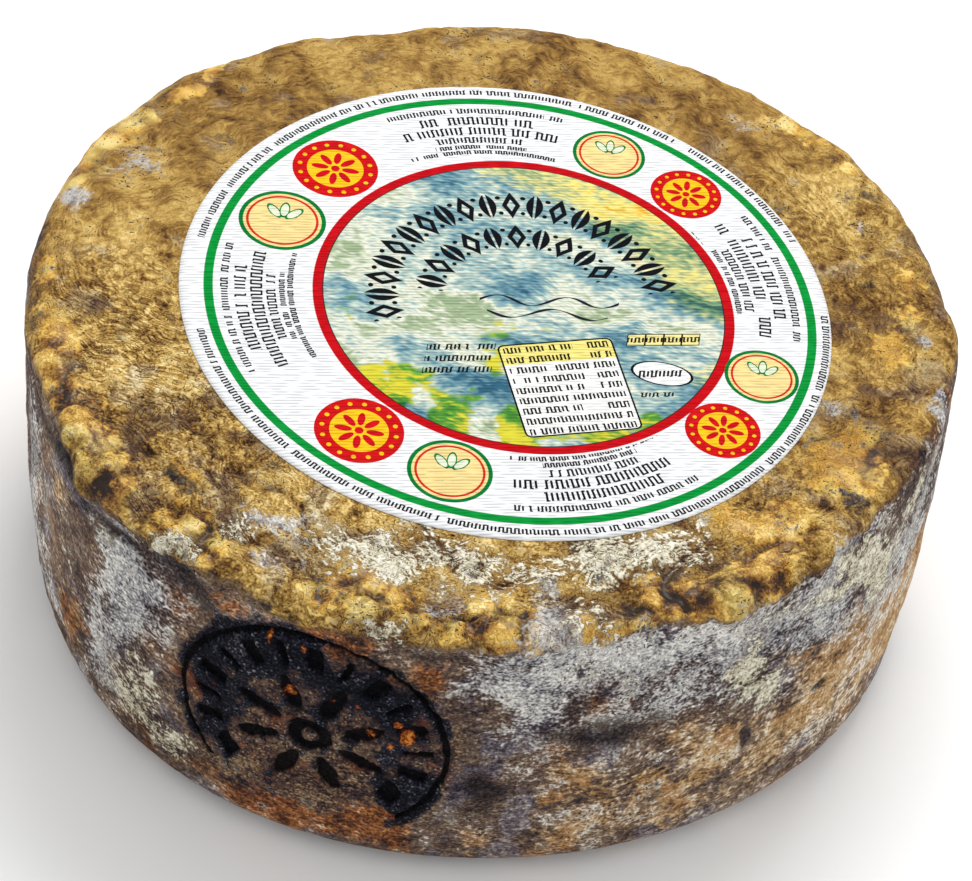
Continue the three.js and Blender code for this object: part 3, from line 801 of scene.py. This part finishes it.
# The burn: brown round about, char over it, blue-black with a painted bluish sheen and painted highlights
# in its lighter flecks, black in the grooves, and spots that glow orange-brown.
burn_tint = ramp(0.5 + 0.2 * blotch + 0.2 * speck + 0.2 * grain + 0.16 * streak, [
    (0.0, (10, 9, 14)), (0.3, (42, 32, 36)), (0.5, (84, 62, 54)), (0.74, (130, 102, 76)),
    (1.0, (196, 178, 140)),
])
burn_tint = laid(
    burn_tint,
    (rise(hue + 0.4 * speck + 0.3 * fold, 0.1, 0.9) * 0.6, (112, 56, 36)),
    (rise(0.7 * grain + 0.7 * powder + 0.5 * blotch, 0.75, 1.0) * 0.7, (168, 154, 112)),
)
char_and_sheen_tint = ramp(0.46 + 0.24 * speck + 0.3 * grain + 0.1 * blotch, [
    (0.1, (0, 0, 3)), (0.42, (6, 9, 20)), (0.64, (20, 25, 40)), (0.84, (54, 56, 68)),
    (1.0, (124, 116, 116)),
])
glow_tone = 0.4 + 0.3 * speck + 0.2 * grain + 0.3 * rise(glow, 0.5, 1.1)
glow_tint = ramp(glow_tone, [(0.15, (50, 22, 12)), (0.5, (140, 66, 26)), (0.85, (222, 140, 62))])
tint = laid(
    tint,
    (rise(burn + 0.2 * speck + 0.25 * blotch - 0.9 * rust, 0.2, 0.8) * 0.94, burn_tint),
    (rise(char + 0.34 * speck + 0.45 * blotch + 0.15 * grain, 0.38, 0.72) * 0.98, char_and_sheen_tint),
    (rise(groove + 0.15 * speck + 0.1 * grain, 0.25, 0.7) * 0.95, (1, 1, 4)),
    (rise(glow + 0.12 * speck + 0.08 * grain, 0.4, 0.75), glow_tint),
)

RIND_SHINE, RIND_ROUGHNESS, OILY_COAT, COAT_ROUGHNESS = 0.08, 0.75, 0.35, 0.3
feed(rind_shader, "Base Color", tint)
feed(rind_shader, "Specular IOR Level", RIND_SHINE)
feed(rind_shader, "Roughness", RIND_ROUGHNESS + 0.06 * speck)
feed(rind_shader, "Coat Weight", OILY_COAT * rise(amber, 0.35, 0.8) * crust)
feed(rind_shader, "Coat Roughness", COAT_ROUGHNESS)
height = (0.3 * fine + 0.2 * char) * speck - 0.16 * wrinkle_and_shade * fine
feed(rind_shader, "Normal", bumped(height, 1.0))
wheel.data.materials.append(rind)

# The label: a round of white laid paper, pressed on while the rind was damp, so that it follows it a
# little.
LABEL_RINGS, LABEL_COLUMNS = 60, 256
LABEL_FLOOR, LABEL_TOP, LABEL_EDGE = 0.05, 0.45, 0.25
spokes = np.linspace(0, 2 * np.pi, LABEL_COLUMNS, endpoint=False)
shares = np.linspace(0, 1, LABEL_RINGS + 1)[1:]


def label_face(z, share, waves):
    """One face of the label: rings of points at a height, raised and lowered by soft noise."""
    radius = LABEL_RADIUS * share[:, None]
    x, y = radius * np.cos(spokes), radius * np.sin(spokes)
    flat = np.stack([x, y, np.full_like(x, z)], -1)
    flat[..., 2] += waves * cloud(flat, 22, 61, 2) * smooth(LABEL_RADIUS - np.hypot(x, y), 0, 12)
    return flat


upper = label_face(HEIGHT + LABEL_TOP, shares, 0.08)
upper[-1, :, 2] = HEIGHT + LABEL_EDGE
lower = label_face(HEIGHT + LABEL_FLOOR, shares[::-1], 0.0)
sheet_rows = np.concatenate([upper, lower]) + (*label_middle, 0)
label_ends = [(*label_middle, HEIGHT + z) for z in (LABEL_TOP, LABEL_FLOOR)]
label = closed_skin("printed_label", sheet_rows, *label_ends)
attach(label, "root")
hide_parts("paper_label")

# Soft blotches of the printed picture, kept on the mesh's points.
page_points = np.concatenate([sheet_rows.reshape(-1, 3), label_ends]) - (*label_middle, HEIGHT)
page_points[:, 2] = 0
flow_bend = 3.0 * np.stack([cloud(page_points, 9, seed, 2) for seed in (101, 102)], -1)
brushed_points = page_points * (0.5, 1.3, 1) + np.pad(flow_bend, ((0, 0), (0, 1)))
paint_on(label, "flow", 1.4 * cloud(brushed_points, 9, 103, 3))
paint_on(label, "ground", 1.4 * cloud(page_points, 22, 108, 3))
paint_on(label, "foliage", 1.4 * cloud(page_points, 7, 105, 3))

# The print. Places are in millimetres from the label's middle, with x to the right and y away from the
# camera.
paper, paper_shader, place = new_material("label paper")
page = vectors("SUBTRACT", place, (*label_middle, 0.0))
page = vectors("MULTIPLY", page, (1.0, 1.0, 0.0))
# A ring's middle, radius and width.
GREEN_RING, RED_RING = ((0.96, 0.18), 65.8, 2.0), ((3.69, 0.0), 45.0, 2.1)
INK, GREEN, RED, GOLD, CREAM_INK = (8, 8, 12), (0, 146, 56), (196, 4, 18), (248, 196, 30), (244, 216, 146)
CRISP = 0.07


def parts(place):
    """The x and y of a place."""
    node = add_node(tree_of(place), "ShaderNodeSeparateXYZ", {0: place})
    return Field(node.outputs[0]), Field(node.outputs[1])


def within(distance, reach=0.0):
    """1 where a distance is under its reach, with a crisp edge."""
    return rise(distance, reach + CRISP, reach - CRISP)


def length_of(place):
    """How far a place is from the origin."""
    return made("ShaderNodeVectorMath", {0: place}, "Value", operation="LENGTH")


def polar(place, centre=(0.0, 0.0)):
    """Distance from a centre, and bearing in degrees from -180 to 180."""
    away = vectors("SUBTRACT", place, (*centre, 0.0))
    x, y = parts(away)
    return length_of(away), calc("ARCTAN2", y, x) * (180 / np.pi)


def random_of(*values):
    """A repeatable random number from 0 to 1 for each whole number or pair of them."""
    return made("ShaderNodeTexWhiteNoise", {0: made("ShaderNodeCombineXYZ", enumerate(values))})


def from_bearing(bearing, start):
    """Degrees anticlockwise from a start, 0 to 360."""
    return calc("WRAP", bearing - start, 360.0, 0.0)


def strokes(up, spaced, high, pitch, seed):
    """A row of upright ink strokes of uneven height. Some are joined to the next at the top and the
    bottom in turn, as in a fret border, and gaps part them into groups: 1 on ink. `up` is the height over
    the row's middle, and `spaced` the way along it in strokes."""
    index, rest = calc("FLOOR", spaced), calc("FRACT", spaced) - 0.5
    pick, size = random_of(index, seed), random_of(index, seed + 0.5)
    line = 0.15 + 0.04 * high
    stroke = within(abs(rest) * pitch - line) * within(abs(up) - high * (0.4 + 0.1 * size))
    side = calc("SIGN", rest) * (1.0 - 2.0 * calc("MODULO", abs(index), 2.0))
    link = within(abs(up - side * (0.4 * high)) - 0.8 * line) * (size > 0.4)
    return calc("MAXIMUM", stroke, link) * (pick > 0.13)


radius, bearing = polar(page, GREEN_RING[0])
red_radius, red_bearing = polar(page, RED_RING[0])
OUTER_ROW, OUTER_HIGH, FINE_PITCH, OUTER_GAPS = 68.9, 1.65, 0.8, ((178, 202), (10, 30))
outer_at = bearing * radians(OUTER_ROW / FINE_PITCH)
ink = strokes(radius - OUTER_ROW, outer_at, OUTER_HIGH, FINE_PITCH, 1.0)
for start, end in OUTER_GAPS:
    ink = ink * (from_bearing(bearing, start) > float(end - start))

# Four blocks of print stand round the label between the rings. Each row has its own radius, height, pitch
# and length, looked up by the distance from the middle.
BLOCK_BEARINGS = (105, 21, 197, 296)
BLOCK_ROWS = [
    (48.2, 1.3, 0.6, 40), (50.0, 1.3, 0.6, 24), (52.4, 2.1, 0.9, 22), (55.5, 2.8, 1.1, 38),
    (59.0, 2.8, 1.1, 26), (62.4, 1.7, 0.8, 38),
]
ROW_STARTS = (47.2, 49.1, 51.0, 53.8, 57.2, 61.0, 63.5)
LOOKUP_SPAN = (46.0, 66.0)


def looked_up(values):
    """The value that belongs to the row of print in which a place lies, and 0 outside the rows. It is
    read from a stepped ramp over the distance from the middle."""
    first, last = LOOKUP_SPAN
    node = add_node(tree_of(radius), "ShaderNodeValToRGB", {0: (radius - first) / (last - first)})
    node.color_ramp.interpolation = "CONSTANT"
    steps = node.color_ramp.elements
    while len(steps) < len(ROW_STARTS) + 1:
        steps.new(1.0)
    starts = [(start - first) / (last - first) for start in ROW_STARTS]
    for step, at, value in zip(steps, [0.0, *starts], [0.0, *values, 0.0]):
        step.position, step.color = at, (value, value, value, 1.0)
    return Field(node.outputs[0])


BLOCK_REACH, RED_MARGIN = 24, 1.6
nearest = 0.0
for block in BLOCK_BEARINGS:
    turn = from_bearing(bearing, block - 180) - 180
    nearest = turn * (abs(turn) < BLOCK_REACH) + nearest
row_radius, row_high, row_pitch, row_sweep = (looked_up(values) for values in zip(*BLOCK_ROWS))
spaced = nearest * row_radius * (np.pi / 180) / calc("MAXIMUM", row_pitch, 0.1)
row_seed = calc("FLOOR", bearing / 90) + row_radius
block_ink = strokes(radius - row_radius, spaced, row_high, row_pitch, row_seed)
shown = (abs(nearest) < row_sweep / 2) * (abs(nearest) > 0.01)
ink = ink + block_ink * shown
ink = ink * (red_radius > RED_RING[1] + RED_MARGIN)

PAPER_WHITE = (240, 241, 242)
green_ring = within(abs(radius - GREEN_RING[1]) - GREEN_RING[2] / 2)
print_tint = laid(PAPER_WHITE, (calc("MINIMUM", ink, 1.0), INK), (green_ring, GREEN))

# The picture's place inside the red ring: soft washes of paint, blue above, yellow on the right and green
# below.
x, y = parts(page)
flow, ground_at, foliage_at = (tone(paper.node_tree, name) for name in ("flow", "ground", "foliage"))
bent_page = vectors("ADD", page, mixed_place(0.0, 1.2 * flow, 0.0))
dabs = noise(vectors("MULTIPLY", bent_page, (0.5, 1.3, 1.0)), 1.5, 1.0, 0.7)
wash_tone = 0.5 + 0.24 * flow + 0.2 * dabs - 0.0025 * x
sky_wash = ramp(wash_tone, [
    (0.1, (50, 98, 122)), (0.3, (112, 154, 166)), (0.46, (170, 194, 186)), (0.62, (232, 233, 214)),
    (0.85, (156, 176, 138)),
])
field_wash = ramp(wash_tone, [
    (0.1, (58, 104, 92)), (0.3, (126, 160, 118)), (0.48, (204, 204, 142)), (0.64, (242, 226, 128)),
    (0.85, (230, 178, 60)),
])
ground = rise(ground_at + 0.2 * dabs + 0.04 * (x - 33.0) + 0.05 * (y - 14.0), -0.1, 0.6)
picture = over(sky_wash, ground, field_wash)
foliage = ramp(wash_tone, [(0.2, (20, 92, 40)), (0.5, (92, 158, 58)), (0.7, (214, 206, 60))])
picture = over(picture, rise(foliage_at + 0.3 * dabs - 0.06 * (y + 27.0), 0.2, 0.7), foliage)
in_picture = within(red_radius, RED_RING[1])
print_tint = over(print_tint, in_picture, picture)


def ornament_row(radius, bearing, row_radius, high, pitch, start, sweep):
    """A ring-shaped row of lozenges and leaves in turn, each with a dot on either side: 1 on ink."""
    turn = from_bearing(bearing, start)
    count = round(radians(sweep) * row_radius / pitch)
    spaced = turn * (count / sweep)
    index, along = calc("FLOOR", spaced), (calc("FRACT", spaced) - 0.5) * pitch
    up = radius - row_radius
    odd = calc("MODULO", index, 2.0)
    lozenge = abs(along) / (0.4 * pitch) + abs(up) / (0.52 * high)
    hollow = abs(lozenge - 0.72) * (0.33 * pitch) - 0.28 * 0.33 * pitch
    leaf = abs(up) / (0.5 * high)
    blade = abs(along) - 0.36 * pitch * (1.0 - leaf * leaf)
    split = 0.05 * pitch - abs(along)
    leaves = calc("MAXIMUM", blade, split * 0.8)
    dots = calc("POWER", abs(along) - 0.5 * pitch, 2.0) + calc("POWER", abs(up) - 0.3 * high, 2.0)
    marks = within(hollow) * (1.0 - odd) + within(leaves) * odd
    return calc("MAXIMUM", marks, within(calc("SQRT", dots) - 0.07 * high)) * (turn < sweep)


# Radius, height, pitch, start and sweep of each row of ornament.
ARCS = [(31.0, 8.4, 5.4, 19, 186), (20.6, 7.6, 5.4, 34, 150)]
ORNAMENT_INK, RING_SHADOW = (8, 12, 20), (40, 26, 30)
for arc in ARCS:
    print_tint = over(print_tint, ornament_row(red_radius, red_bearing, *arc), ORNAMENT_INK)
ring_edge = abs(red_radius - RED_RING[1]) - RED_RING[2] / 2
print_tint = over(print_tint, within(ring_edge, 0.25) * in_picture, RING_SHADOW)
print_tint = over(print_tint, within(ring_edge), RED)

# Eight round seals: four of gold and red with a rosette, and four of cream and green with a sprig.
GOLD_SEALS = [(-42.9, 32.45, 9.6), (35.5, 44.45, 8.1), (49.4, -28.95, 8.1), (-25.6, -47.45, 9.4)]
CREAM_SEALS = [(-51.6, 12.45, 9.6), (17.0, 53.45, 8.3), (56.5, -10.55, 8.1), (-5.6, -54.55, 8.9)]
SEAL_RED, ROSETTE_RED, RIM_RED = (206, 14, 20), (206, 10, 26), (206, 44, 34)
RIM_GREEN, LEAF_GREEN, LEAF_PALE = (0, 120, 52), (10, 124, 56), (226, 234, 206)
# Count, distance from the middle, half length and half width, as shares of the seal's radius.
SEAL_DOTS, ROSETTE, SPRIG = (16, 0.83, 0.055, 0.055), (8, 0.36, 0.2, 0.085), (9, 0.36, 0.27, 0.12)
HEART, ROSETTE_HEART, RIM_START, RIM_LINE, SPRIG_SPREAD = 0.66, 0.1, 0.9, (0.77, 0.83), 62.0


def seals(page, places):
    """Distance from the middle of the seal that a place is in, as a share of its radius, its bearing
    there, and 1 inside any seal."""
    local, inside_any = None, 0.0
    for x, y, reach in places:
        away = vectors("SUBTRACT", page, (x, y, 0.0))
        here = length_of(away) < reach
        scaled = made("ShaderNodeVectorMath", {0: away, "Scale": here * (1 / reach)}, operation="SCALE")
        local = vectors("ADD", scaled, local) if local else scaled
        inside_any = here + inside_any
    return *polar(local), inside_any


def petal(radius, bearing, count, middle, half_long, half_wide):
    """Ellipses round a middle, one every full turn over their count: below 1 inside."""
    turn = (calc("FRACT", bearing * (count / 360) + 0.5) - 0.5) * radians(360 / count)
    long = (radius * calc("COSINE", turn) - middle) / half_long
    short = radius * calc("SINE", turn) / half_wide
    return calc("SQRT", long * long + short * short)


seal_radius, seal_bearing, in_seal = seals(page, GOLD_SEALS)
seal_tint = laid(
    GOLD,
    (seal_radius > HEART, SEAL_RED),
    (petal(seal_radius, seal_bearing, *SEAL_DOTS) < 1.0, GOLD),
    (petal(seal_radius, seal_bearing, *ROSETTE) < 1.0, ROSETTE_RED),
    (seal_radius < ROSETTE_HEART, ROSETTE_RED),
)
print_tint = over(print_tint, in_seal, seal_tint)
seal_radius, seal_bearing, in_seal = seals(page, CREAM_SEALS)
from_sprig = seal_bearing - 90.0
beyond_sprig = abs(from_sprig) > SPRIG_SPREAD
sprig = petal(seal_radius, from_sprig, *SPRIG) * (1.0 + beyond_sprig * 9.0)
seal_tint = laid(
    CREAM_INK,
    (seal_radius > RIM_START, RIM_GREEN),
    ((seal_radius > RIM_LINE[0]) * (seal_radius < RIM_LINE[1]), RIM_RED),
    (sprig < 1.0, LEAF_GREEN),
    (sprig < 0.76, LEAF_PALE),
)
print_tint = over(print_tint, in_seal, seal_tint)

# A ruled panel and a plain oval at the foot of the picture.
PANEL_MIDDLE, PANEL_TURN, PANEL_HALF = (16.05, -23.85), radians(20.2), (12.8, 13.9)
PANEL_CORNER, PANEL_LINE, PANEL_HEAD, PANEL_MARGIN = 1.6, 0.42, 7.7, 11.6
PANEL_WHITE, HEAD_YELLOW, BOX_YELLOW = (246, 246, 242), (240, 226, 130), (238, 226, 150)


def turned_back(place, angle):
    """A place turned clockwise by an angle about the origin."""
    return made("ShaderNodeVectorRotate", {"Vector": place, "Angle": -angle}, rotation_type="Z_AXIS")


panel_x, panel_y = parts(turned_back(vectors("SUBTRACT", page, (*PANEL_MIDDLE, 0.0)), PANEL_TURN))
corner_x = calc("MAXIMUM", abs(panel_x) - (PANEL_HALF[0] - PANEL_CORNER), 0.0)
corner_y = calc("MAXIMUM", abs(panel_y) - (PANEL_HALF[1] - PANEL_CORNER), 0.0)
edge = calc("SQRT", corner_x * corner_x + corner_y * corner_y) - PANEL_CORNER
ROW_PITCH, STROKE_PITCH, PRINT_TILT = 3.05, 0.85, 0.27
row_at = (panel_y + PANEL_HALF[1]) / ROW_PITCH
row_index, row_rest = calc("FLOOR", row_at), calc("FRACT", row_at) - 0.5
entries = strokes(row_rest * ROW_PITCH, panel_x / STROKE_PITCH, 1.9, STROKE_PITCH, row_index)
right_end = 11.0 - 10.0 * random_of(row_index, 3.0)
entries = entries * calc("MAXIMUM", panel_x < right_end, panel_x > 7.0) * (abs(panel_x) < PANEL_MARGIN)
panel = laid(
    PANEL_WHITE, (panel_y > PANEL_HEAD, HEAD_YELLOW), (entries, INK), (edge > -PANEL_LINE, INK)
)
print_tint = over(print_tint, within(edge), panel)
OVAL_MIDDLE, OVAL_HALF, OVAL_LINE, OVAL_MARGIN = (35.2, -14.95), (6.8, 3.6), 0.91, 5.1
OVAL_WHITE = (246, 246, 244)
oval_place = vectors("SUBTRACT", page, (*OVAL_MIDDLE, 0.0))
oval_shares = vectors("MULTIPLY", oval_place, (1 / OVAL_HALF[0], 1 / OVAL_HALF[1], 0.0))
oval = length_of(oval_shares)
oval_x, oval_y = parts(oval_place)
oval_row = strokes(oval_y - PRINT_TILT * oval_x, oval_x / STROKE_PITCH, 2.2, STROKE_PITCH, 9.0)
print_tint = laid(
    print_tint,
    (oval < 1.0, OVAL_WHITE),
    ((oval < 1.0) * (oval > OVAL_LINE), INK),
    (oval_row * (abs(oval_x) < OVAL_MARGIN), INK),
)

# Small print beside the panel: three short rows on the left, and on the right a strip of four yellow
# boxes over the oval and a row under it. A waved flourish lies across the middle.
ROWS_MIDDLE, ROWS_COUNT, ROWS_PITCH = (-8.0, -21.0), 3, 3.6
rows_x = x - ROWS_MIDDLE[0]
rows_y = (y - ROWS_MIDDLE[1] - PRINT_TILT * rows_x) / ROWS_PITCH + ROWS_COUNT / 2
small_index, small_rest = calc("FLOOR", rows_y), calc("FRACT", rows_y) - 0.5
small = strokes(small_rest * ROWS_PITCH, rows_x / STROKE_PITCH, 1.9, STROKE_PITCH, small_index + 20.0)
small = small * (abs(rows_x) < 7.2) * (rows_y > 0.0) * (rows_y < float(ROWS_COUNT))
BOXES_MIDDLE, BOX_PITCH, BOX_HALF = (34.6, -4.4), 3.9, (7.8, 1.9)
boxes_x = x - BOXES_MIDDLE[0]
boxes_y = y - BOXES_MIDDLE[1] - PRINT_TILT * boxes_x
in_boxes = (abs(boxes_x) < BOX_HALF[0]) * (abs(boxes_y) < BOX_HALF[1])
box_rest = abs(calc("FRACT", boxes_x / BOX_PITCH) - 0.5)
box_row = strokes(boxes_y, boxes_x / FINE_PITCH, 1.7, FINE_PITCH, 31.0)
box_line = calc("MAXIMUM", box_rest > 0.45, abs(boxes_y) > 1.65)
under_oval = strokes(y + 21.6 - PRINT_TILT * (x - 34.7), x / FINE_PITCH, 1.4, FINE_PITCH, 33.0)
print_tint = laid(
    print_tint,
    (small, INK),
    (in_boxes, laid(BOX_YELLOW, (box_row, INK), (box_line, INK))),
    (under_oval * (x > 31.0) * (x < 38.5), INK),
)
PEN_INK = (20, 30, 44)
flourish_x = x - 9.0
for rise_at, waves, phase, reach in [(1.4, 0.42, 0.0, 15.0), (-2.6, 0.36, 1.2, 13.0)]:
    wave = y - rise_at - 1.5 * calc("SINE", flourish_x * waves + phase) - 0.2 * flourish_x
    pen = 0.16 + 0.16 * calc("COSINE", flourish_x * (2 * waves) + phase)
    drawn_wave = within(abs(wave) - pen - 0.12) * (abs(flourish_x) < reach)
    print_tint = over(print_tint, drawn_wave, PEN_INK)

# Laid paper: fine ribs across the sheet, broken here and there.
RIB_TURN, RIB_PITCH, RIB_SHADE = radians(14), 0.85, (132, 132, 138)
PAPER_SHINE, PAPER_ROUGHNESS, RIB_DEPTH = 0.06, 0.7, 0.05
ribbed = turned_back(page, RIB_TURN)
rib = calc("SINE", (parts(ribbed)[1] + 0.12 * flow) * (2 * np.pi / RIB_PITCH)) * 0.5 + 0.5
broken = rise(noise(vectors("MULTIPLY", ribbed, (0.35, 1.6, 1.0)), 1.1, 0.0), -0.9, 0.4)
feed(paper_shader, "Base Color", over(print_tint, 0.5 * (rib * broken), RIB_SHADE, "MULTIPLY"))
feed(paper_shader, "Specular IOR Level", PAPER_SHINE)
feed(paper_shader, "Roughness", PAPER_ROUGHNESS + 0.1 * broken)
feed(paper_shader, "Normal", bumped(-RIB_DEPTH * rib, 0.6))
label.data.materials.append(paper)

# The floor and the light: a pale floor, a white sky all round and one large soft lamp above and behind.
FLOOR_HALF, FLOOR_WHITE, FLOOR_ROUGHNESS = 3.0, (0.95, 0.95, 0.95, 1.0), 0.9
floor_mesh = bpy.data.meshes.new("floor")
corners = [(x * FLOOR_HALF, y * FLOOR_HALF, 0) for x, y in ((-1, -1), (1, -1), (1, 1), (-1, 1))]
floor_mesh.from_pydata(corners, [], [(0, 1, 2, 3)])
floor = bpy.data.objects.new("floor", floor_mesh)
bpy.context.scene.collection.objects.link(floor)
floor_paint, floor_shader, _ = new_material("floor paint")
feed(floor_shader, "Base Color", FLOOR_WHITE)
feed(floor_shader, "Roughness", FLOOR_ROUGHNESS)
floor_mesh.materials.append(floor_paint)

LAMP_PLACE, LAMP_SIZE, LAMP_POWER, SKY_STRENGTH = (0.08, 0.6, 1.1), 0.6, 8.0, 0.85
lamp = bpy.data.objects.new("soft lamp", bpy.data.lights.new("soft lamp", "AREA"))
lamp.data.size, lamp.data.energy = LAMP_SIZE, LAMP_POWER
lamp.location = LAMP_PLACE
lamp.rotation_euler = Vector(LAMP_PLACE).to_track_quat("Z", "Y").to_euler()
bpy.context.scene.collection.objects.link(lamp)
sky = bpy.data.worlds.new("sky")
sky.use_nodes = True
feed(sky.node_tree.nodes["Background"], "Color", (1.0, 1.0, 1.0, 1.0))
feed(sky.node_tree.nodes["Background"], "Strength", SKY_STRENGTH)
bpy.context.scene.world = sky
bpy.context.scene.view_settings.view_transform = "Standard"
